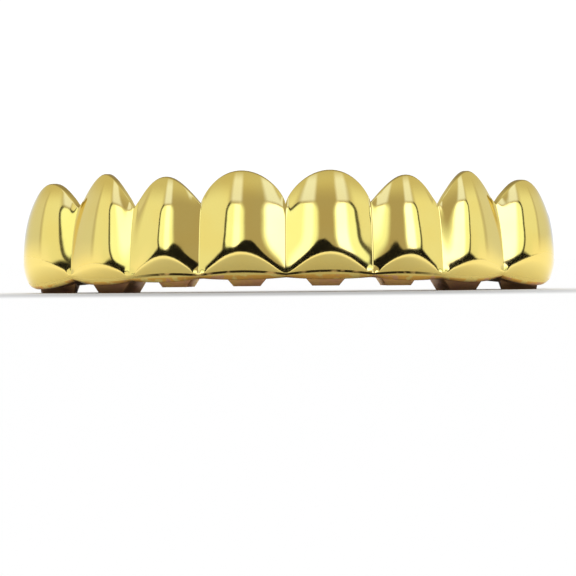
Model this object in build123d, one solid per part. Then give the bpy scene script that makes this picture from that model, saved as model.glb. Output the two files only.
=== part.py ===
from build123d import *
import math
import os

# Cast metal tooth cover: eight caps in a row, in millimetres.
# X runs along the row, Y goes from the lip side into the mouth, Z points to the gum.
# The row is worked out for one side, from the midline crease outwards, and mirrored.

# Size of the widest cap, and the form of its front
cap_width = 8.71
cap_height = 12.2
cap_depth = 7.0
front_bulge = 1.2
# The front leans back above its belly, as an arc that is this far back at this height above it
gum_lean = 2.2
gum_lean_height = 8.0
# Share of the front's curve that eases off towards the creases
crease_ease = 0.15
# The lower edge of the front is cut back by this much, from this height above it
edge_height = 0.5
edge_depth = 0.45
# Where the midline crease lies
crease_depth = 1.3

# Walls of the casting
front_wall = 0.7
back_wall = 0.7
floor_wall = 0.8
end_wall = 0.9
end_round = 0.35
# The tongue-side wall leans out by this much from the floor to its rim
heel_lean = 0.5

# Biting pads under the floor; those of the incisors stand this far above the others
pad_lift = 0.6
pad_front_inset = 0.7
pad_chamfer_front = 0.3
pad_chamfer_back = 0.45
pad_root = 0.35
recess_depth = 0.2
recess_rim = 0.7

# One row per crease, from the midline to the far end of the row.
# turn: heading of the crease in degrees; notch: height of the gum edge; lip: height of the
# lower edge; belly: height where the front stands out most; tuck: how far the lower edge is
# set back from there; lean: how far the front leans back above it; back: height of the
# tongue-side wall.
CREASE_COLUMNS = ("turn", "notch", "lip", "belly", "tuck", "lean", "back")
CREASES = [
    (0.0, 0.722, 0.119, 0.18, 0.15, 0.5, 0.377),
    (9.5, 0.73, 0.116, 0.18, 0.15, 0.5, 0.369),
    (22.0, 0.7, 0.098, 0.17, 0.15, 0.4, 0.377),
    (43.0, 0.71, 0.102, 0.19, 0.2, 0.5, 0.393),
    (64.0, 0.607, 0.074, 0.262, 0.5, 0.6, 0.426),
]

# One row per cap, from the midline outwards.
# width: from crease to crease; turn: heading of the line between them in degrees;
# bulge: how far the front stands out from that line; depth: from it to the tongue side;
# peak: top of the gum edge; top: its form, from 0.7 for round to 1.4 for pointed; skew: how far
# it is set off towards the far end; lip, belly, tuck, lean and back: as for a crease, in the
# middle of the cap.
CAP_COLUMNS = (
    "name", "width", "turn", "bulge", "depth", "peak", "top", "skew", "lip", "belly", "tuck",
    "lean", "back",
)
CAPS = [
    ("central", 1.0, 6.0, 1.0, 1.0, 1.0, 0.7, 0.05, 0.102, 0.33, 0.7, 1.0, 0.459),
    ("lateral", 0.82, 14.0, 0.79, 1.0, 0.955, 1.06, 0.15, 0.086, 0.3, 0.6, 1.0, 0.443),
    ("canine", 0.842, 34.3, 0.94, 1.143, 0.984, 1.03, 0.17, 0.066, 0.246, 0.333, 0.86, 0.475),
    ("premolar", 0.985, 52.0, 1.54, 1.2, 0.907, 1.3, 0.0, 0.033, 0.295, 0.75, 1.0, 0.508),
]

# One row per pad, in the order of the caps.
# lift: height of its bottom; front_inner to back_outer: its sides across the cap, from -1 at
# the inner crease to 1 at the outer one; slope: how much wider it is at its root; reach: its
# tongue side, as a distance from the line between the creases.
PAD_COLUMNS = (
    "lift", "front_inner", "front_outer", "back_inner", "back_outer", "slope", "reach",
)
PADS = [
    (1.0, -0.39, 0.24, -0.3, 0.24, 0.24, 0.93),
    (0.92, -0.54, 0.17, -0.4, 0.2, 0.24, 0.93),
    (0.0, -0.58, 0.2, -0.2, 0.25, 0.36, 0.93),
    (0.0, -0.72, 0.72, 0.35, 0.72, 0.1, 0.69),
]

# What each column of lengths is a share of
UNITS = {
    "notch": cap_height, "peak": cap_height, "lip": cap_height, "belly": cap_height,
    "back": cap_height, "tuck": front_bulge, "bulge": front_bulge, "lean": gum_lean,
    "width": cap_width, "depth": cap_depth, "reach": cap_depth, "lift": pad_lift,
}

# Places across each cap where the casting is drawn as a section
STATIONS = (-1.0, -0.5, 0.0, 0.5, 1.0)


def rows(columns, table):
    """Rows of a table as dictionaries with named columns, with lengths in millimetres."""
    named = [dict(zip(columns, row)) for row in table]
    return [{key: value * UNITS.get(key, 1) for key, value in row.items()} for row in named]


def heading(angle):
    """Unit vector into the mouth for a section turned by an angle in degrees."""
    return Vector(-math.sin(math.radians(angle)), math.cos(math.radians(angle)), 0)


def cap_lines():
    """Caps with their pad, their two creases, the depth there and their ends in plan."""
    creases = rows(CREASE_COLUMNS, CREASES)
    caps = rows(CAP_COLUMNS, CAPS)
    depths = [cap["depth"] for cap in caps]
    shared = [depths[0]] + [(a + b) / 2 for a, b in zip(depths, depths[1:])] + [depths[-1]]
    start = Vector(0, crease_depth, 0)
    for number, (cap, pad) in enumerate(zip(caps, rows(PAD_COLUMNS, PADS))):
        end = start + heading(cap["turn"] - 90) * cap["width"]
        inner = dict(creases[number], depth=shared[number])
        outer = dict(creases[number + 1], depth=shared[number + 1])
        cap.update(pad=pad, inner=inner, outer=outer, start=start, end=end)
        start = end
    return caps


def between(cap, u, key):
    """Value on the line from one crease of a cap to the other."""
    return cap["inner"][key] + (cap["outer"][key] - cap["inner"][key]) * (u + 1) / 2


def across(cap, u, key, crease_key=None, power=1.0):
    """Value at a place across a cap, from the one at its creases to the one in its middle."""
    crease_key = crease_key or key
    rise = cap[key] - between(cap, 0, crease_key)
    return between(cap, u, crease_key) + rise * max(0.0, 1 - u ** 2) ** power


def gum_edge(cap, u):
    """Height of the gum edge at a place across a cap."""
    return across(cap, u - cap["skew"] * (1 - u ** 2), "peak", "notch", cap["top"])


def place(cap, u, setback, height):
    """Point of a cap from its place across, its setback from the front line and its height."""
    foot = cap["start"] + (cap["end"] - cap["start"]) * ((u + 1) / 2)
    return foot + heading(between(cap, u, "turn")) * setback + Vector(0, 0, height)


def arc_shift(radius, run):
    """How far an arc that starts upright has moved sideways after a run along its start."""
    return radius - math.sqrt(radius ** 2 - run ** 2)


def stand_out(cap, u):
    """How far the front stands out from the line between the creases."""
    return cap["bulge"] * (1 - u ** 2 * (1 + crease_ease * (1 - u ** 2)))


def front(cap, u, height):
    """Setback of the front: upright at the belly, with one arc below it and one above it."""
    belly = across(cap, u, "belly")
    if height < belly:
        drop = belly - across(cap, u, "lip")
        tuck = across(cap, u, "tuck")
        shift = arc_shift((drop ** 2 + tuck ** 2) / (2 * tuck), belly - height)
    else:
        shift = arc_shift(gum_lean_height ** 2 / (2 * across(cap, u, "lean")), height - belly)
    return shift - stand_out(cap, u)


def section_points(cap, u):
    """Named corners of the casting's cross-section at a place across the cap."""
    lip = across(cap, u, "lip")
    belly = across(cap, u, "belly")
    gum = gum_edge(cap, u)
    back = across(cap, u, "back")
    deep = across(cap, u, "depth")
    floor = between(cap, u, "lip")
    inside = floor + floor_wall
    edge = lip + edge_height
    outer_heights = {
        "edge": edge, "foot": (edge + belly) / 2, "belly": belly, "face": (belly + gum) / 2,
        "gum": gum,
    }
    inner_heights = {"gum_in": gum, "face_in": (inside + gum) / 2, "toe_in": inside}
    flat = {name: (front(cap, u, height), height) for name, height in outer_heights.items()}
    for name, height in inner_heights.items():
        flat[name] = (front(cap, u, height) + front_wall, height)
    flat.update({
        "lip": (front(cap, u, edge) + edge_depth, lip),
        "heel_in": (deep - heel_lean - back_wall, inside),
        "rim_in": (deep - back_wall, back),
        "rim": (deep, back),
        "heel": (deep - heel_lean, floor),
    })
    return {name: place(cap, u, setback, height) for name, (setback, height) in flat.items()}


def channel_wire(points):
    """Closed outline of the wall: front, gum edge, inside and tongue-side wall."""
    p = points
    return Wire([
        Line(p["lip"], p["edge"]),
        ThreePointArc(p["edge"], p["foot"], p["belly"]),
        ThreePointArc(p["belly"], p["face"], p["gum"]),
        Line(p["gum"], p["gum_in"]),
        ThreePointArc(p["gum_in"], p["face_in"], p["toe_in"]),
        Line(p["toe_in"], p["heel_in"]),
        Line(p["heel_in"], p["rim_in"]),
        Line(p["rim_in"], p["rim"]),
        Line(p["rim"], p["heel"]),
        Line(p["heel"], p["lip"]),
    ])


def cap_shell(cap):
    """Wall of one cap, between its two creases."""
    return Solid.make_loft([channel_wire(section_points(cap, u)) for u in STATIONS])


def end_outline(cap, draw_in, run):
    """Filled outline of the row's far end, moved along the row and drawn in all round."""
    p = section_points(cap, 1.0)
    shift = heading(cap["outer"]["turn"] - 90) * run
    inward = heading(cap["outer"]["turn"]) * draw_in
    up = Vector(0, 0, draw_in)
    lip = p["lip"] + shift + up
    edge, foot, belly, face = (
        p[name] + shift + inward for name in ("edge", "foot", "belly", "face")
    )
    gum = p["gum"] + shift + inward - up
    rim = p["rim"] + shift - inward - up
    heel = p["heel"] + shift - inward + up
    return Wire([
        Line(lip, edge),
        ThreePointArc(edge, foot, belly),
        ThreePointArc(belly, face, gum),
        Line(gum, rim),
        Line(rim, heel),
        Line(heel, lip),
    ])


def end_plate(cap):
    """Wall that closes the channel at the far end of the row."""
    return Solid.make_loft([end_outline(cap, 0.0, 0.0), end_outline(cap, end_round, end_wall)], True)


def pad_corners(cap, height, grow, front, back):
    """Corners of a cap's pad at a height, wider by grow and drawn in by front and back."""
    pad = cap["pad"]
    corners = []
    for u in (pad["front_inner"] - grow, pad["front_outer"] + grow):
        toe = cap["tuck"] - stand_out(cap, u)
        corners.append(place(cap, u, toe + pad_front_inset + front, height))
    for u in (pad["back_outer"] + grow, pad["back_inner"] - grow):
        corners.append(place(cap, u, pad["reach"] - back, height))
    return corners


def pad_block(cap):
    """Biting pad: a block with sloped sides under the floor, with a shallow recess below."""
    pad = cap["pad"]
    root = max(cap["inner"]["lip"], cap["outer"]["lip"]) + pad_root
    top = pad_corners(cap, root, pad["slope"], 0.0, 0.0)
    bottom = pad_corners(cap, pad["lift"], 0.0, pad_chamfer_front, pad_chamfer_back)
    block = Solid.make_loft([Wire.make_polygon(top), Wire.make_polygon(bottom)], True)
    outline = Face(Wire.make_polygon(bottom))
    inner = offset(outline, amount=-recess_rim)
    return block - extrude(inner, amount=recess_depth, dir=(0, 0, 1))


def half_row():
    """Caps, pads and end wall on one side of the midline, as one solid."""
    caps = cap_lines()
    half = cap_shell(caps[0])
    for cap in caps[1:]:
        half = half + cap_shell(cap)
    half = half + end_plate(caps[-1])
    for cap in caps:
        half = half + pad_block(cap)
    return half


def tooth_cover():
    """The whole casting, on its pads, with its origin under the middle of its box."""
    half = half_row()
    whole = half + mirror(half, about=Plane.YZ)
    box = whole.bounding_box()
    return Pos(0, -box.center().Y, -box.min.Z) * whole


def main():
    """Writes the casting."""
    os.makedirs("parts", exist_ok=True)
    cover = tooth_cover()
    print("volume", round(cover.volume, 1), "size", cover.bounding_box().size)
    print("middle of mass", cover.center(CenterOf.MASS))
    export_step(cover.solid(), "parts/tooth_cover.step")


main()
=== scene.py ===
import math

import bmesh
import bpy
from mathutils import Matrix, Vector


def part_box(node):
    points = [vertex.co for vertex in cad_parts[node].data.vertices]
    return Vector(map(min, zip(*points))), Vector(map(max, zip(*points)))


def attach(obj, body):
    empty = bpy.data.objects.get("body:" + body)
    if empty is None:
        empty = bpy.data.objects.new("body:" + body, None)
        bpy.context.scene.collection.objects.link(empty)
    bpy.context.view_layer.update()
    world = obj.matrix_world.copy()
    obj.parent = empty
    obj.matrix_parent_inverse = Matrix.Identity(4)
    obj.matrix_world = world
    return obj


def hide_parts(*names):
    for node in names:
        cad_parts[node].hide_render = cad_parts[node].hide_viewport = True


MM = 0.001

# Size of the widest cap, and the form of its front
CAP_WIDTH = 8.71 * MM
CAP_HEIGHT = 12.2 * MM
CAP_DEPTH = 7.0 * MM
FRONT_BULGE = 1.2 * MM
GUM_LEAN = 2.2 * MM
GUM_LEAN_HEIGHT = 8.0 * MM
CREASE_EASE = 0.3
CREASE_DEPTH = 1.3 * MM
BELLY_FORM = 1.7
SHOULDER_FADE = 2.5 * MM

# Lower edge of the front, with the place of the soft ridge along it
EDGE_HEIGHT = 0.5 * MM
EDGE_DEPTH = 0.45 * MM
EDGE_SWELL = 0.1 * MM
EDGE_SHARE = 0.45

# Walls of the casting
FRONT_WALL = 0.7 * MM
BACK_WALL = 0.7 * MM
FLOOR_WALL = 0.8 * MM
END_WALL = 0.9 * MM
END_DRAW = 0.1
HEEL_LEAN = 0.5 * MM
RIM_ROUND = 0.12 * MM
RIM_ROUND_SHARE = 0.4

# Small forms of the polished fronts: the soft ridge, the rolled gum edge, the creases, the beads
KEEL_START = 0.35 * CAP_HEIGHT
KEEL_END = 0.85 * CAP_HEIGHT
KEEL_SOFTNESS = 0.02
KEEL_FORM = 8
GUM_ROLL = 0.22 * MM
GUM_ROLL_RISE = 1.0 * MM
GUM_ROLL_FORM = 9
SEAM_HALF = 0.07 * MM
BEAD_HEIGHT = 1.75 * MM
BEAD_SIZE = 0.42 * MM
BEAD_RISE = 0.23 * MM

# Biting pads
PAD_LIFT = 0.6 * MM
PAD_FRONT_INSET = 0.7 * MM
PAD_CHAMFER_FRONT = 0.3 * MM
PAD_CHAMFER_BACK = 0.45 * MM
PAD_ROOT = 0.35 * MM
PAD_ROUND = 0.07 * MM
PAD_ROUND_SEGMENTS = 2
RECESS_DEPTH = 0.2 * MM
RECESS_RIM = 0.7 * MM

# One row per crease, from the midline to the far end. The columns are its heading in degrees;
# heights as shares of the cap's, of the gum notch, the lower edge, the belly, the shoulder above
# it and the tongue wall; and shares of the bulge, lean, edge height and bead named above.
CREASE_COLUMNS = (
    "turn", "notch", "lip", "belly", "tuck", "lean", "back", "shoulder", "edge", "bead",
)
CREASES = [
    (0.0, 0.722, 0.119, 0.153, 0.15, 1.0, 0.377, 0.33, 0.6, 0.0),
    (9.5, 0.73, 0.116, 0.153, 0.15, 1.0, 0.369, 0.315, 0.6, 1.0),
    (22.0, 0.7, 0.098, 0.15, 0.15, 0.93, 0.377, 0.273, 0.6, 0.7),
    (43.0, 0.71, 0.102, 0.175, 0.2, 0.93, 0.393, 0.27, 0.6, 0.6),
    (64.0, 0.607, 0.074, 0.262, 0.5, 1.0, 0.426, 0.295, 0.6, 0.0),
]

# One row per cap: central, lateral, canine and premolar. The same names say the same of the
# cap's middle, and width, depth and peak are shares of the widest cap's size.
# top is the form of its gum edge and skew how far aside its peak is. keel and keel_at give the
# soft ridge down the front: how far it stands out, and its place across the cap.
CAP_COLUMNS = (
    "width", "turn", "bulge", "depth", "peak", "top", "skew", "lip", "belly", "tuck", "lean",
    "back", "edge", "keel", "keel_at",
)
CAPS = [
    (1.0, 6.0, 1.0, 1.0, 1.0, 0.7, 0.05, 0.102, 0.33, 0.7, 1.0, 0.459, 1.7, 0.0, 0.0),
    (0.82, 14.0, 0.79, 1.0, 0.955, 1.06, 0.15, 0.086, 0.3, 0.6, 1.0, 0.443, 1.6, 0.13, -0.15),
    (0.842, 34.3, 0.87, 1.143, 0.984, 1.03, 0.17, 0.066, 0.246, 0.333, 0.86, 0.475, 1.0, 0.2, -0.1),
    (0.985, 52.0, 1.54, 1.2, 0.907, 1.3, 0.0, 0.033, 0.295, 0.75, 1.0, 0.508, 0.9, 0.15, -0.1),
]

# One row per pad: lift of its bottom, its sides across the cap at the front and at the back,
# how much wider it is at its root, and its reach towards the tongue.
PAD_COLUMNS = (
    "lift", "front_inner", "front_outer", "back_inner", "back_outer", "slope", "reach",
)
PADS = [
    (1.0, -0.39, 0.24, -0.3, 0.24, 0.24, 0.93),
    (0.92, -0.54, 0.17, -0.4, 0.2, 0.24, 0.93),
    (0.0, -0.58, 0.2, -0.2, 0.25, 0.36, 0.93),
    (0.0, -0.72, 0.72, 0.35, 0.72, 0.1, 0.69),
]

# Length that each column is a share of
UNITS = {
    "peak": CAP_HEIGHT,
    "notch": CAP_HEIGHT,
    "shoulder": CAP_HEIGHT,
    "belly": CAP_HEIGHT,
    "lip": CAP_HEIGHT,
    "back": CAP_HEIGHT,
    "bulge": FRONT_BULGE,
    "tuck": FRONT_BULGE,
    "keel": FRONT_BULGE,
    "lean": GUM_LEAN,
    "edge": EDGE_HEIGHT,
    "bead": BEAD_RISE,
    "width": CAP_WIDTH,
    "depth": CAP_DEPTH,
    "reach": CAP_DEPTH,
    "lift": PAD_LIFT,
}

# Rows of the mesh round the wall, columns across one cap, and how much both crowd at their ends
FRONT_ROWS = 60
INSIDE_ROWS = 14
FLOOR_ROWS = 6
WALL_ROWS = 6
RIM_ROWS = 2
CORNER_ROWS = 3
COLUMNS = 32
CROWDING = 0.11
END_ROWS = 30
END_ROUNDS = 6
END_STEP = 0.02
WELD_GAP = SEAM_HALF / 50

# Places of the materials on the casting
POLISHED = 0
SATIN = 1
UNDERSIDE = 2
WARM_EDGE = 3
DARK_LINE = 4

# Metal colours as linear light
GOLD = (1.0, 0.8, 0.25, 1)
GOLD_WARM = (1.0, 0.775, 0.225, 1)
GOLD_DEEP = (0.93, 0.62, 0.2, 1)
# Orange and copper paint the warm reflection along the lower edge; copper is also the underside's own
# warm metal
ORANGE = (0.95, 0.55, 0.12, 1)
COPPER = (0.84, 0.47, 0.24, 1)
# Painted dark reflection: the mottled line along the corner above the lower edge
DARK_LINE_COLOUR = (0.05, 0.035, 0.01, 1)
# Painted dark reflection that browns the far ends of the underside
BROWN = (0.16, 0.07, 0.04, 1)

# Patterns of the finishes, in repeats a metre, and the depths of their bumps
WAVES = 260.0
CLOUDS = 420.0
PATCHES = 520.0
EDGE_PATCHES = 700.0
DARK_LINE_PATCHES = 900.0
WIPE_MARKS = 2600.0
WEAR_MARKS = 3800.0
GRAIN = 5200.0
WAVE_DEPTH = 0.03 * MM
WIPE_DEPTH = 0.0006 * MM
WEAR_DEPTH = 0.01 * MM
GRAIN_DEPTH = 0.02 * MM

# Distances from the midline over which the painted dark reflection turns the underside brown and the
# painted dark line fades
DARK_REFLECTION_FADE = (12.5 * MM, 18.0 * MM)
DARK_REFLECTION_MOST = 0.85
DARK_REFLECTION_WANDER = 2.0 * MM
DARK_LINE_FADE = (12.0 * MM, 17.0 * MM)

# The studio, laid out by the tilt in degrees of a surface that would mirror each place to the
# camera: sideways, positive to the left, and upwards. It has a light box on each side of the
# middle with a dark frame line outside it, a dark band below and a lit streak above each box.
TO_CAMERA = (0, -1, 0)
DEGREES = 180 / math.pi
STUDIO_TURN = 3.0
BOX_INNER = 7.5
BOX_OUTER = 23.0
BOX_TOP = 20.0
BOX_FOOT = 2.2
BOX_CORNER = 4.5
BOX_SHARP = 0.4
BOX_SOFT = 2.0
FRAME_WIDE = 1.8
FRAME_EDGE = 0.6
FRAME_DARK = 0.9
STREAK_HALF = 3.0
STREAK_EDGE = 4.0
STREAK_LIGHT = 0.75
HOT_RIGHT = (-16.5, -10.5)
HOT_LEFT = (12.5, 15.5)
HOT_EDGE = 3.0
HOT_RIGHT_SHARE = 0.7
HOT_LEFT_SHARE = 0.4
SIDE_LINE = (43.0, 44.0)
SIDE_LINE_EDGE = 3.0
SIDE_LINE_SHARE = 0.5
RIM_SHARE = 0.4
BAND_HIGH = 5.0
BAND_PEAK = 4.5
BAND_FLANK = 1.3
BAND_THIN = 0.5
BAND_SOFT_BELOW = 0.3
BAND_SOFT_FLANK = 0.7
BAND_SOFT_ABOVE = 0.2

# Tilts over which the studio's colours and the height of its band change
BEIGE_FADE = (19.0, 25.0)
OUTER_FADE = (42.0, 44.0)
RIM_FADE = (66.0, 86.0)
FLOOR_SIDE_FADE = (28.0, 36.0)
FLOOR_TOP_FADE = (0.0, 7.0)
CEILING_FADE = (20.0, 34.0)
HIGH_CEILING_FADE = (34.0, 56.0)
FRAME_FADE = (19.0, 22.0)
STREAK_FOOT_FADE = (20.0, 22.0)
STREAK_TOP_FADE = (32.0, 42.0)
PEAK_FADE = (2.0, 12.0)
FLANK_FADE = (14.0, 23.0)
THIN_FADE = (22.0, 33.0)
BAND_END_FADE = (32.0, 44.0)

# Colours of the studio as linear light
TAN = (0.42, 0.385, 0.34, 1)
BEIGE = (0.84, 0.89, 0.85, 1)
OUTER_BEIGE = (0.69, 0.72, 0.8, 1)
CEILING = (0.6, 0.585, 0.5, 1)
HIGH_CEILING = (0.3, 0.27, 0.22, 1)
BOX_LIGHT = (1.02, 1.19, 1.16, 1)
HOT_LIGHT = (2.2, 2.3, 3.4, 1)
STREAK_WHITE = (0.99, 1.15, 1.9, 1)
RIM_WHITE = (0.72, 0.82, 1.15, 1)
NEAR_FLOOR = (0.97, 0.97, 0.95, 1)
BLACK = (0.008, 0.008, 0.012, 1)
BACKDROP = (1.08, 1.08, 1.08, 1)

# Table, with a grey patch of painted shade in front of the casting that the lower edges mirror
TABLE_HALF = 1.2
TABLE_WHITE = (0.94, 0.94, 0.94, 1)
SHADE_GREY = (0.5, 0.5, 0.5, 1)
SHADE_CENTRE = (0, -25.0 * MM, 0)
SHADE_FADE = (12.0 * MM, 55.0 * MM)

# Camera, with its angles in degrees
SENSOR = 36
CLIP_START = 10.0 * MM
CAMERA_DISTANCE = 770 * MM
CAMERA_RISE = 0.35
CAMERA_ROLL = 0.5
CAMERA_YAW = 1.2
FRAME_WIDTH = 57.45 * MM
CENTRE_RIGHT = 0.25 * MM
CENTRE_UP = 0.4 * MM


def rows(columns, table):
    """Rows of a table as dictionaries with named columns, with lengths in metres."""
    named = [dict(zip(columns, row)) for row in table]
    return [{key: value * UNITS.get(key, 1) for key, value in row.items()} for row in named]


def heading(angle):
    """Unit vector into the mouth for a section turned by an angle in degrees."""
    return Vector((-math.sin(math.radians(angle)), math.cos(math.radians(angle)), 0))


def smooth(value, low, high):
    """Smooth step from 0 at low to 1 at high."""
    t = min(1.0, max(0.0, (value - low) / (high - low)))
    return t * t * (3 - 2 * t)


def cap_lines():
    """Caps with their pad, their two creases, the depth there and their ends in plan."""
    creases = rows(CREASE_COLUMNS, CREASES)
    caps = rows(CAP_COLUMNS, CAPS)
    depths = [cap["depth"] for cap in caps]
    shared = [depths[0]] + [(a + b) / 2 for a, b in zip(depths, depths[1:])] + [depths[-1]]
    start = Vector((0, CREASE_DEPTH, 0))
    for number, (cap, pad) in enumerate(zip(caps, rows(PAD_COLUMNS, PADS))):
        end = start + heading(cap["turn"] - 90) * cap["width"]
        inner = dict(creases[number], depth=shared[number])
        outer = dict(creases[number + 1], depth=shared[number + 1])
        cap.update(pad=pad, inner=inner, outer=outer, start=start, end=end)
        start = end
    return caps


def between(cap, u, key):
    """Value on the line from one crease of a cap to the other."""
    return cap["inner"][key] + (cap["outer"][key] - cap["inner"][key]) * (u + 1) / 2


def across(cap, u, key, crease_key=None, power=1.0):
    """Value at a place across a cap, from the one at its creases to the one in its middle."""
    crease_key = crease_key or key
    rise = cap[key] - between(cap, 0, crease_key)
    return between(cap, u, crease_key) + rise * max(0.0, 1 - u ** 2) ** power


def gum_edge(cap, u):
    """Height of the gum edge at a place across a cap."""
    return across(cap, u - cap["skew"] * (1 - u ** 2), "peak", "notch", cap["top"])


def place(cap, u, setback, height):
    """Point of a cap from its place across, its setback from the front line and its height."""
    foot = cap["start"] + (cap["end"] - cap["start"]) * ((u + 1) / 2)
    return foot + heading(between(cap, u, "turn")) * setback + Vector((0, 0, height))


def keel(cap, u, height):
    """How far the soft ridge makes the front stand out, growing towards the gum."""
    side = math.sqrt((u - cap["keel_at"]) ** 2 + KEEL_SOFTNESS) - math.sqrt(KEEL_SOFTNESS)
    tent = max(0.0, 1 - side) * (1 - u ** KEEL_FORM)
    return cap["keel"] * tent * smooth(height, KEEL_START, KEEL_END)


def arc_shift(radius, run):
    """How far an arc that starts upright has moved sideways after a run along its start."""
    return radius - math.sqrt(radius ** 2 - run ** 2)


def stand_out(cap, u):
    """How far the front stands out from the line between the creases."""
    return cap["bulge"] * (1 - u ** 2 * (1 + CREASE_EASE * (1 - u ** 2)))


def front(cap, u, height):
    """Setback of the polished front: one arc below the belly, one above it, and small forms.

    Near the creases the front is steeper between the belly and the shoulder, and that fades
    above the shoulder.
    """
    belly = across(cap, u, "belly", power=BELLY_FORM)
    shoulder = across(cap, u, "belly", "shoulder")
    radius = GUM_LEAN_HEIGHT ** 2 / (2 * across(cap, u, "lean"))
    lip = across(cap, u, "lip")
    gum = gum_edge(cap, u)
    notch = between(cap, u, "notch")
    setback = -stand_out(cap, u) - keel(cap, u, height)
    steeper = (shoulder - belly) / radius
    if height > shoulder:
        t = min(1.0, (height - shoulder) / SHOULDER_FADE)
        setback += arc_shift(radius, height - shoulder)
        setback -= steeper * SHOULDER_FADE * (0.5 - t + t ** 3 - t ** 4 / 2)
    else:
        setback -= steeper * SHOULDER_FADE / 2 + arc_shift(radius, shoulder - belly)
        if height > belly:
            setback += arc_shift(radius, height - belly)
        else:
            tuck = across(cap, u, "tuck")
            setback += arc_shift(((belly - lip) ** 2 + tuck ** 2) / (2 * tuck), belly - height)
    near_gum = (height - lip) / (gum - lip)
    setback += GUM_ROLL * smooth(gum - notch, 0, GUM_ROLL_RISE) * max(0.0, near_gum) ** GUM_ROLL_FORM
    bead = cap["outer" if u > 0 else "inner"]["bead"]
    from_crease = (1 - abs(u)) * cap["width"] / 2
    reach = (from_crease / BEAD_SIZE) ** 2 + ((height - BEAD_HEIGHT) / BEAD_SIZE) ** 2
    return setback - bead * math.exp(-reach)


def even(count, low, high):
    """Evenly spaced values from low to high."""
    return [low + (high - low) * step / count for step in range(count + 1)]


def crowded(count, low, high):
    """Values from low to high that crowd a little towards both ends."""
    shares = [share - CROWDING * math.sin(2 * math.pi * share) for share in even(count, 0, 1)]
    return [low + (high - low) * share for share in shares]


def straight(low, high):
    """A flat line between two points, as a function from 0 to 1."""
    return lambda t: (low[0] + (high[0] - low[0]) * t, low[1] + (high[1] - low[1]) * t)


def wall_sides(cap, u):
    """Sides of the wall's cross-section in order, as tuples of four.

    They are the side's line, its first corner, its rows of faces and the materials of the side
    and of the corner after it.
    """
    lip = across(cap, u, "lip")
    gum = gum_edge(cap, u)
    back = across(cap, u, "back")
    deep = across(cap, u, "depth")
    under = between(cap, u, "lip")
    inside = under + FLOOR_WALL
    edge = lip + across(cap, u, "edge")
    toe = (front(cap, u, edge) + EDGE_DEPTH, lip)
    edge_out = (front(cap, u, edge), edge)
    gum_out = (front(cap, u, gum), gum)
    gum_in = (gum_out[0] + FRONT_WALL, gum)
    toe_in = (front(cap, u, inside) + FRONT_WALL, inside)
    heel_in = (deep - HEEL_LEAN - BACK_WALL, inside)
    rim_in = (deep - BACK_WALL, back)
    rim = (deep, back)
    heel = (deep - HEEL_LEAN, under)
    ridge = ((toe[0] + edge_out[0]) / 2 - EDGE_SWELL, lip + (edge - lip) * EDGE_SHARE)

    def face(t):
        height = edge + (gum - edge) * t
        return front(cap, u, height), height

    def inner_face(t):
        height = gum + (inside - gum) * t
        return front(cap, u, height) + FRONT_WALL, height

    return [
        # The rows along the lower edge carry the warm edge, a painted warm reflection
        (straight(toe, ridge), toe, RIM_ROWS, (WARM_EDGE, WARM_EDGE)),
        # The corner after the ridge carries the dark line, a painted dark reflection
        (straight(ridge, edge_out), ridge, RIM_ROWS, (POLISHED, DARK_LINE)),
        (face, edge_out, FRONT_ROWS, (POLISHED, POLISHED)),
        (straight(gum_out, gum_in), gum_out, RIM_ROWS, (POLISHED, POLISHED)),
        (inner_face, gum_in, INSIDE_ROWS, (SATIN, SATIN)),
        (straight(toe_in, heel_in), toe_in, FLOOR_ROWS, (SATIN, SATIN)),
        (straight(heel_in, rim_in), heel_in, WALL_ROWS, (SATIN, POLISHED)),
        (straight(rim_in, rim), rim_in, RIM_ROWS, (POLISHED, POLISHED)),
        (straight(rim, heel), rim, WALL_ROWS, (POLISHED, UNDERSIDE)),
        (straight(heel, toe), heel, FLOOR_ROWS, (UNDERSIDE, WARM_EDGE)),
    ]


def corner_cut(line):
    """Share of a side that the rounding of its corner takes away."""
    return min(RIM_ROUND_SHARE, RIM_ROUND / math.dist(line(0), line(1)))


def ring(cap, u):
    """Flat points round the wall at a place across the cap, with rounded corners."""
    sides = wall_sides(cap, u)
    points = []
    for number, (line, _, count, _) in enumerate(sides):
        following = sides[(number + 1) % len(sides)]
        cut = corner_cut(line)
        points += [line(t) for t in crowded(count, cut, 1 - cut)]
        next_line = following[0]
        low = Vector(points[-1])
        corner = Vector(following[1])
        high = Vector(next_line(corner_cut(next_line)))
        for t in even(CORNER_ROWS, 0, 1)[1:-1]:
            points.append(tuple(low.lerp(corner, t).lerp(corner.lerp(high, t), t)))
    return points


def ring_materials(cap):
    """The material of each row of faces round the wall."""
    materials = []
    for _, _, count, (side, corner) in wall_sides(cap, 0):
        materials += [side] * count + [corner] * CORNER_ROWS
    return materials


def column_places(cap):
    """Places across a cap for the mesh's columns, with a narrow one along each crease."""
    seam = 1 - 2 * SEAM_HALF / cap["width"]
    return [-1.0] + crowded(COLUMNS - 2, -seam, seam) + [1.0]


def bend_grid(bm, rings, materials):
    """A grid bent into a tube through closed rings of points, with a material for each row."""
    columns = len(rings) - 1
    count = len(rings[0])
    grid = bmesh.ops.create_grid(bm, x_segments=columns, y_segments=count, size=1)
    faces = {face for vert in grid["verts"] for face in vert.link_faces}
    for face in faces:
        row = int((face.calc_center_median().y + 1) / 2 * count)
        face.material_index = materials[row]
    for vert in grid["verts"]:
        column = round((vert.co.x + 1) / 2 * columns)
        row = round((vert.co.y + 1) / 2 * count) % count
        vert.co = rings[column][row]


def add_lid(bm, points, material):
    """A flat face through a ring of points."""
    circle = bmesh.ops.create_circle(bm, cap_ends=True, segments=len(points), radius=1)
    circle["verts"][0].link_faces[0].material_index = material
    for vert, point in zip(circle["verts"], points):
        vert.co = point


def add_wall(bm, cap):
    """The wall of one cap, bent round its cross-section."""
    rings = []
    for u in column_places(cap):
        rings.append([place(cap, u, setback, height) for setback, height in ring(cap, u)])
    bend_grid(bm, rings, ring_materials(cap))


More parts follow.
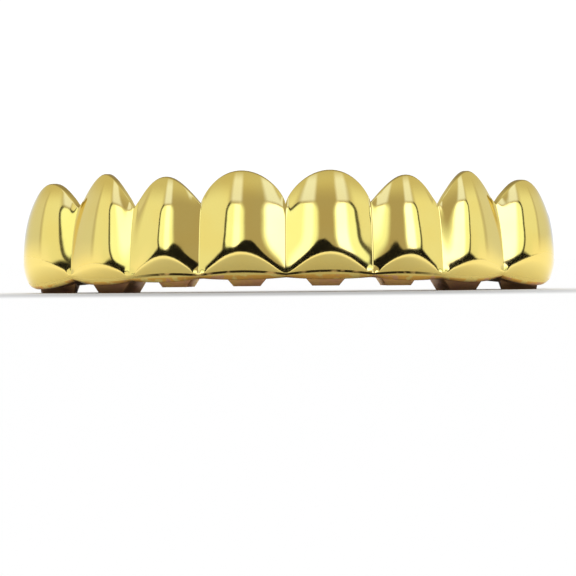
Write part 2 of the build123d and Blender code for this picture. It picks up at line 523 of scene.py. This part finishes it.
def end_lines(cap, u):
    """Flat outlines of the closed end and of the channel inside it."""
    sides = wall_sides(cap, u)
    points = ring(cap, u)
    counts = [count + CORNER_ROWS for _, _, count, _ in sides]
    gum = sum(counts[:3])
    rim = sum(counts[:8]) - CORNER_ROWS
    slope = straight(points[gum], points[rim])
    top = [slope(t) for t in even(END_ROWS, 0, 1)[1:-1]]
    return points[:gum + 1] + top + points[rim:], points[gum:rim + 1] + top[::-1]


def add_end(bm, cap):
    """Wall that closes the channel at the far end of the row, with its outer edges rounded."""
    outline, channel = end_lines(cap, 1)
    before, _ = end_lines(cap, 1 - END_STEP)
    middle = [(min(values) + max(values)) / 2 for values in zip(*outline)]
    inward = heading(cap["outer"]["turn"])
    outward = heading(cap["outer"]["turn"] - 90)
    rings = []
    for angle in even(END_ROUNDS, 0, math.pi / 2):
        points = []
        for (setback, height), earlier in zip(outline, before):
            foot = place(cap, 1, setback, height)
            along = foot - place(cap, 1 - END_STEP, *earlier)
            along = along / along.dot(outward)
            to_middle = inward * (middle[0] - setback) + Vector((0, 0, middle[1] - height))
            drawn_in = to_middle * END_DRAW * (1 - math.cos(angle))
            points.append(foot + along * END_WALL * math.sin(angle) + drawn_in)
        rings.append(points)
    bend_grid(bm, rings, [POLISHED] * len(outline))
    add_lid(bm, rings[-1], POLISHED)
    add_lid(bm, [place(cap, 1, setback, height) for setback, height in channel], SATIN)


def pad_corners(cap, height, grow, front_in, back_in):
    """Corners of a cap's pad at a height, wider by grow and drawn in at front and back."""
    pad = cap["pad"]
    corners = []
    for u in (pad["front_inner"] - grow, pad["front_outer"] + grow):
        toe = cap["tuck"] - stand_out(cap, u)
        corners.append(place(cap, u, toe + PAD_FRONT_INSET + front_in, height))
    for u in (pad["back_outer"] + grow, pad["back_inner"] - grow):
        corners.append(place(cap, u, pad["reach"] - back_in, height))
    return corners


def add_pad(bm, cap):
    """Biting pad: a block with sloped sides and a shallow recess in its bottom."""
    pad = cap["pad"]
    root = max(cap["inner"]["lip"], cap["outer"]["lip"]) + PAD_ROOT
    levels = {
        1: pad_corners(cap, root, pad["slope"], 0.0, 0.0),
        -1: pad_corners(cap, pad["lift"], 0.0, PAD_CHAMFER_FRONT, PAD_CHAMFER_BACK),
    }
    around = {(-1, -1): 0, (1, -1): 1, (1, 1): 2, (-1, 1): 3}
    cube = bmesh.ops.create_cube(bm, size=2)["verts"]
    for vert in cube:
        x, y, z = (round(value) for value in vert.co)
        vert.co = levels[z][around[x, y]]
    faces = {face for vert in cube for face in vert.link_faces}
    bottom = min(faces, key=lambda face: face.calc_center_median().z)
    bmesh.ops.inset_region(bm, faces=[bottom], thickness=RECESS_RIM, use_even_offset=True)
    rim_edges = list(bottom.edges)
    sunk = bmesh.ops.extrude_face_region(bm, geom=[bottom])
    bmesh.ops.delete(bm, geom=[bottom], context="FACES_ONLY")
    deep = [item for item in sunk["geom"] if isinstance(item, bmesh.types.BMVert)]
    bmesh.ops.translate(bm, verts=deep, vec=(0, 0, RECESS_DEPTH))
    edges = {edge for vert in cube for edge in vert.link_edges} | set(rim_edges)
    bmesh.ops.bevel(bm, geom=list(edges), offset=PAD_ROUND, offset_type="OFFSET",
                    segments=PAD_ROUND_SEGMENTS, profile=0.5, affect="EDGES", material=-1)


def add_mirrored(bm, kept):
    """Mirrors all faces but the kept ones about the midline."""
    faces = [face for face in bm.faces if face not in kept]
    edges = list({edge for face in faces for edge in face.edges})
    verts = list({vert for face in faces for vert in face.verts})
    bmesh.ops.mirror(bm, geom=verts + edges + faces, merge_dist=WELD_GAP, axis="X")


def tooth_cover_mesh(low):
    """The whole casting, mirrored about the midline, with its front on the frame's box."""
    caps = cap_lines()
    bm = bmesh.new()
    for cap in caps:
        add_wall(bm, cap)
    add_end(bm, caps[-1])
    bmesh.ops.remove_doubles(bm, verts=bm.verts, dist=WELD_GAP)
    add_mirrored(bm, set())
    bmesh.ops.recalc_face_normals(bm, faces=bm.faces)
    if bm.calc_volume(signed=True) < 0:
        bmesh.ops.reverse_faces(bm, faces=bm.faces)
    wall = set(bm.faces)
    for cap in caps:
        add_pad(bm, cap)
    add_mirrored(bm, wall)
    pads = list(set(bm.faces) - wall)
    bmesh.ops.recalc_face_normals(bm, faces=pads)
    for face in pads:
        face.material_index = UNDERSIDE
    front_y = min(vert.co.y for vert in bm.verts)
    bmesh.ops.translate(bm, verts=bm.verts, vec=(0, low.y - front_y, 0))
    for vert in bm.verts:
        vert.co.z = max(low.z, vert.co.z)
    for face in bm.faces:
        face.smooth = len(face.verts) < END_ROWS
    mesh = bpy.data.meshes.new("cast_cover")
    bm.to_mesh(mesh)
    bm.free()
    return mesh


class Signal:
    """A socket of a node tree that takes part in sums."""

    def __init__(self, tree, socket):
        self.tree = tree
        self.socket = socket

    def math(self, operation, *others):
        return self.tree.node("ShaderNodeMath", {"operation": operation}, [self, *others])

    def __add__(self, other):
        return self.math("ADD", other)

    def __sub__(self, other):
        return self.math("SUBTRACT", other)

    def __mul__(self, other):
        return self.math("MULTIPLY", other)

    def __truediv__(self, other):
        return self.math("DIVIDE", other)

    def __pow__(self, other):
        return self.math("POWER", other)

    def __radd__(self, other):
        return self.math("ADD", other)

    def __rmul__(self, other):
        return self.math("MULTIPLY", other)

    def __rsub__(self, other):
        return self.math("SUBTRACT", other).math("MULTIPLY", -1)


class Tree:
    """A node tree with one method that adds any node, and short forms of it for common ones."""

    def __init__(self, tree):
        self.tree = tree
        tree.nodes.clear()

    def node(self, kind, settings=None, inputs=(), output=0):
        """Adds a node, sets it, fills its inputs by name or by place, and returns an output."""
        made = self.tree.nodes.new(kind)
        for name, value in (settings or {}).items():
            if name == "stops":
                self.fill_ramp(made.color_ramp, value)
            else:
                setattr(made, name, value)
        pairs = inputs.items() if isinstance(inputs, dict) else enumerate(inputs)
        for name, value in pairs:
            if isinstance(value, Signal):
                self.tree.links.new(value.socket, made.inputs[name])
            else:
                made.inputs[name].default_value = value
        return Signal(self, made.outputs[output]) if made.outputs else made

    def fill_ramp(self, ramp, stops):
        """Fills a colour ramp from pairs of a place and a colour."""
        ramp.interpolation = "EASE"
        while len(ramp.elements) < len(stops):
            ramp.elements.new(0.5)
        for element, (place_along, colour) in zip(ramp.elements, stops):
            element.position = place_along
            element.color = colour

    def split(self, vector):
        """The three numbers of a vector."""
        parts = self.node("ShaderNodeSeparateXYZ", inputs=[vector]).socket.node
        return [Signal(self, socket) for socket in parts.outputs]

    def noise(self, place_on, scale, detail):
        """Noise with a scale in repeats a metre."""
        return self.node("ShaderNodeTexNoise", inputs={
            "Vector": place_on, "Scale": scale, "Detail": detail})

    def ramp(self, value, *stops):
        """Colour along a value."""
        return self.node("ShaderNodeValToRGB", {"stops": stops}, [value])

    def step(self, value, low, high, most=1.0):
        """Smooth step of a value, from 0 at low to most at high."""
        return self.node("ShaderNodeMapRange", {"interpolation_type": "SMOOTHSTEP"},
                         [value, low, high, 0.0, most])

    def strip(self, value, low, high, edge):
        """Mask of the values from low to high, with soft edges outside them."""
        return self.step(value, low - edge, low) * (1 - self.step(value, high, high + edge))

    def paint(self, under, over, mask):
        """One colour over another through a mask."""
        return self.node("ShaderNodeMix", {"data_type": "RGBA"},
                         {0: mask, 6: under, 7: over}, output=2)

    def bumps(self, height, strength, distance, **below):
        """Bumps of a height pattern, on top of those below."""
        return self.node("ShaderNodeBump", inputs={
            "Strength": strength, "Distance": distance, "Height": height, **below})

    def surface(self, sockets):
        """The shader of a material, with its sockets filled by name."""
        shader = self.node("ShaderNodeBsdfPrincipled", inputs=sockets)
        self.node("ShaderNodeOutputMaterial", inputs={"Surface": shader})


def new_finish(name):
    """A material, its empty node tree and the place on the piece that its patterns read."""
    material = bpy.data.materials.new(name)
    material.use_nodes = True
    tree = Tree(material.node_tree)
    return material, tree, tree.node("ShaderNodeTexCoord", output="Object")


def from_midline(tree, place_on):
    """Distance from the midline of the row."""
    return tree.split(place_on)[0].math("ABSOLUTE")


def polished_gold():
    """Mirror-polished yellow gold plating with faint waviness and fine wiping marks."""
    material, tree, place_on = new_finish("polished_gold")
    wave = tree.noise(place_on, WAVES, 1.0)
    marks = tree.noise(place_on, WIPE_MARKS, 4.0)
    wavy = tree.bumps(wave, 1.0, WAVE_DEPTH)
    tree.surface({
        "Base Color": tree.ramp(wave, (0.35, GOLD), (0.7, GOLD_WARM)),
        "Metallic": 1.0,
        "Roughness": 0.035 + 0.05 * marks,
        "Normal": tree.bumps(marks, 1.0, WIPE_DEPTH, Normal=wavy),
    })
    return material


def satin_gold():
    """Inside of the channel: plated as cast, with a soft grain."""
    material, tree, place_on = new_finish("satin_gold")
    grain = tree.noise(place_on, GRAIN, 5.0)
    cloud = tree.noise(place_on, CLOUDS, 2.0)
    tree.surface({
        "Base Color": tree.ramp(cloud, (0.3, GOLD), (0.75, GOLD_DEEP)),
        "Metallic": 1.0,
        "Roughness": 0.26 + 0.14 * cloud,
        "Normal": tree.bumps(grain, 0.6, GRAIN_DEPTH),
    })
    return material


def coppery_underside():
    """Biting side, where the plating is thinner and the warm metal shows, with a painted dark
    reflection that turns the far ends brown.
    """
    material, tree, place_on = new_finish("coppery_underside")
    patch = tree.noise(place_on, PATCHES, 3.0)
    marks = tree.noise(place_on, WEAR_MARKS, 4.0)
    warm = tree.ramp(patch, (0.35, COPPER), (0.65, GOLD_DEEP))
    distance = from_midline(tree, place_on) + DARK_REFLECTION_WANDER * patch
    # Painted dark reflection: brown towards the far ends
    dark_reflection = tree.step(distance, *DARK_REFLECTION_FADE, DARK_REFLECTION_MOST)
    tree.surface({
        "Base Color": tree.paint(warm, BROWN, dark_reflection),
        "Metallic": 0.85,
        "Roughness": 0.35 + 0.2 * patch,
        "Normal": tree.bumps(marks, 0.4, WEAR_DEPTH),
    })
    return material


def warm_edge():
    """Rounded lower edge, with orange and copper patches painted in as a warm reflection."""
    material, tree, place_on = new_finish("warm_edge")
    patch = tree.noise(place_on, EDGE_PATCHES, 2.0)
    tree.surface({
        # Painted warm reflection in orange and copper patches
        "Base Color": tree.ramp(patch, (0.4, GOLD), (0.46, ORANGE), (0.56, ORANGE), (0.64, COPPER)),
        "Metallic": 1.0,
        "Roughness": 0.08 + 0.1 * patch,
    })
    return material


def dark_line():
    """Fine mottled dark line painted along the corner above the lower edge as a painted dark
    reflection, gone towards the ends.
    """
    material, tree, place_on = new_finish("dark_line")
    patch = tree.noise(place_on, DARK_LINE_PATCHES, 2.0)
    mottled = tree.ramp(patch, (0.5, DARK_LINE_COLOUR), (0.72, GOLD_DEEP))
    # The painted dark reflection fades out away from the midline
    line_faded = tree.step(from_midline(tree, place_on), *DARK_LINE_FADE)
    tree.surface({
        "Base Color": tree.paint(mottled, GOLD, line_faded),
        "Metallic": 0.9,
        "Roughness": 0.2 + 0.2 * patch,
    })
    return material


def studio_walls(tree, sideways, upwards):
    """Walls and ceiling of the studio, with a lit streak in the ceiling above each light box."""
    side = sideways.math("ABSOLUTE")
    colour = tree.paint(TAN, BEIGE, tree.step(side, *BEIGE_FADE))
    colour = tree.paint(colour, OUTER_BEIGE, tree.step(side, *OUTER_FADE))
    line = tree.strip(side, *SIDE_LINE, SIDE_LINE_EDGE)
    colour = tree.paint(colour, TAN, SIDE_LINE_SHARE * line)
    colour = tree.paint(colour, RIM_WHITE, RIM_SHARE * tree.step(side, *RIM_FADE))
    near_floor = tree.step(side, *FLOOR_SIDE_FADE) * (1 - tree.step(upwards, *FLOOR_TOP_FADE))
    colour = tree.paint(colour, NEAR_FLOOR, near_floor)
    colour = tree.paint(colour, CEILING, tree.step(upwards, *CEILING_FADE))
    return tree.paint(colour, HIGH_CEILING, tree.step(upwards, *HIGH_CEILING_FADE))


def light_boxes(tree, colour, sideways, upwards):
    """A light box with rounded corners on each side, its frame line and the streak above it."""
    side = sideways.math("ABSOLUTE")
    middle = (BOX_INNER + BOX_OUTER) / 2
    half_across = (BOX_OUTER - BOX_INNER) / 2 - BOX_CORNER
    half_along = (BOX_TOP - BOX_FOOT) / 2 - BOX_CORNER
    past_side = ((side - middle).math("ABSOLUTE") - half_across).math("MAXIMUM", 0.0)
    half_height = (BOX_TOP + BOX_FOOT) / 2
    past_top = ((upwards - half_height).math("ABSOLUTE") - half_along).math("MAXIMUM", 0.0)
    outside = (past_side ** 2 + past_top ** 2) ** 0.5 - BOX_CORNER
    frame_line = 1 - tree.step(outside, FRAME_WIDE - FRAME_EDGE, FRAME_WIDE)
    frame_line = frame_line * tree.step(side, *FRAME_FADE) * FRAME_DARK
    colour = tree.paint(colour, BLACK, frame_line)
    streak = tree.strip(side, middle - STREAK_HALF, middle + STREAK_HALF, STREAK_EDGE)
    streak = streak * (1 - tree.step(upwards, *STREAK_TOP_FADE))
    streak = STREAK_LIGHT * streak * tree.step(upwards, *STREAK_FOOT_FADE)
    colour = tree.paint(colour, STREAK_WHITE, streak)
    light = BOX_LIGHT
    for strip, share in ((HOT_RIGHT, HOT_RIGHT_SHARE), (HOT_LEFT, HOT_LEFT_SHARE)):
        light = tree.paint(light, HOT_LIGHT, share * tree.strip(sideways, *strip, HOT_EDGE))
    softness = BOX_SHARP + (BOX_SOFT - BOX_SHARP) * (1 - tree.step(side, BOX_INNER, middle))
    return tree.paint(colour, light, 1 - tree.step(outside / softness, -1, 1))


def dark_band(tree, colour, sideways, upwards):
    """Dark band under the light boxes, high beside the middle and thin towards the sides."""
    side = sideways.math("ABSOLUTE")
    from_peak = (sideways - BAND_PEAK).math("ABSOLUTE")
    flank = tree.step(side, *FLANK_FADE)
    top = BOX_FOOT + (BAND_HIGH - BOX_FOOT) * (1 - tree.step(from_peak, *PEAK_FADE))
    top = top + BAND_FLANK * flank
    top = top - (BOX_FOOT + BAND_FLANK - BAND_THIN) * tree.step(side, *THIN_FADE)
    low_edge = top - BAND_SOFT_BELOW - BAND_SOFT_FLANK * flank
    band = 1 - tree.step(upwards, low_edge, top + BAND_SOFT_ABOVE)
    return tree.paint(colour, BLACK, band * (1 - tree.step(side, *BAND_END_FADE)))


def studio():
    """World with a white backdrop for the camera and a painted studio for reflections."""
    world = bpy.data.worlds.new("studio")
    bpy.context.scene.world = world
    world.use_nodes = True
    tree = Tree(world.node_tree)
    direction = tree.node("ShaderNodeTexCoord", output="Generated")
    halfway = tree.node("ShaderNodeVectorMath", {"operation": "ADD"}, [direction, TO_CAMERA])
    tilt = tree.node("ShaderNodeVectorMath", {"operation": "NORMALIZE"}, [halfway])
    x, y, z = tree.split(tilt)
    sideways = (x * -1).math("ARCTAN2", y * -1) * DEGREES + STUDIO_TURN
    upwards = z.math("ARCSINE") * DEGREES
    colour = studio_walls(tree, sideways, upwards)
    colour = light_boxes(tree, colour, sideways, upwards)
    colour = dark_band(tree, colour, sideways, upwards)
    rays = tree.node("ShaderNodeLightPath", output="Is Glossy Ray")
    colour = tree.paint(BACKDROP, colour, rays)
    background = tree.node("ShaderNodeBackground", inputs={"Color": colour, "Strength": 1.0})
    tree.node("ShaderNodeOutputWorld", inputs={"Surface": background})


def tabletop():
    """White table under the casting, with a grey patch of painted shade in front of it."""
    bm = bmesh.new()
    bmesh.ops.create_grid(bm, x_segments=1, y_segments=1, size=TABLE_HALF)
    mesh = bpy.data.meshes.new("tabletop")
    bm.to_mesh(mesh)
    bm.free()
    table = bpy.data.objects.new("tabletop", mesh)
    bpy.context.collection.objects.link(table)
    material, tree, place_on = new_finish("white_table")
    # Painted shade: a grey patch in front of the casting, fading out to white
    from_shade = tree.node("ShaderNodeVectorMath", {"operation": "SUBTRACT"}, [place_on, SHADE_CENTRE])
    distance = tree.node("ShaderNodeVectorMath", {"operation": "LENGTH"}, [from_shade], output=1)
    tree.surface({
        "Base Color": tree.paint(SHADE_GREY, TABLE_WHITE, tree.step(distance, *SHADE_FADE)),
        "Roughness": 0.9,
        "Specular IOR Level": 0.1,
    })
    mesh.materials.append(material)


def camera(low):
    """Camera at the photograph's angle: square on, and just above the table."""
    data = bpy.data.cameras.new("camera")
    item = bpy.data.objects.new("camera", data)
    bpy.context.collection.objects.link(item)
    target = Vector((CENTRE_RIGHT, low.y, CENTRE_UP))
    rise, roll, yaw = (math.radians(angle) for angle in (CAMERA_RISE, CAMERA_ROLL, CAMERA_YAW))
    away = Vector((math.sin(yaw) * math.cos(rise), -math.cos(yaw) * math.cos(rise), math.sin(rise)))
    item.location = target + away * CAMERA_DISTANCE
    item.rotation_euler = (math.pi / 2 - rise, roll, yaw)
    data.sensor_width = SENSOR
    data.lens = SENSOR * CAMERA_DISTANCE / FRAME_WIDTH
    data.clip_start = CLIP_START
    bpy.context.scene.camera = item


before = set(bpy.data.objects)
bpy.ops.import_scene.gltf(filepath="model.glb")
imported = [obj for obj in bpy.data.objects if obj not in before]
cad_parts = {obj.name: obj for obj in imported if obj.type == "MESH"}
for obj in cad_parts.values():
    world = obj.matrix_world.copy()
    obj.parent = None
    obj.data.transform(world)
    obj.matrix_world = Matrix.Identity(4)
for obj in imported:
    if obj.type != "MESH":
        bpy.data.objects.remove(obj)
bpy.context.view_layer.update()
low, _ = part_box("tooth_cover")
cover = bpy.data.objects.new("cast_cover", tooth_cover_mesh(low))
bpy.context.collection.objects.link(cover)
for finish in (polished_gold(), satin_gold(), coppery_underside(), warm_edge(), dark_line()):
    cover.data.materials.append(finish)
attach(cover, "root")
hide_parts("tooth_cover")
studio()
tabletop()
camera(low)
bpy.context.scene.view_settings.view_transform = "Standard"
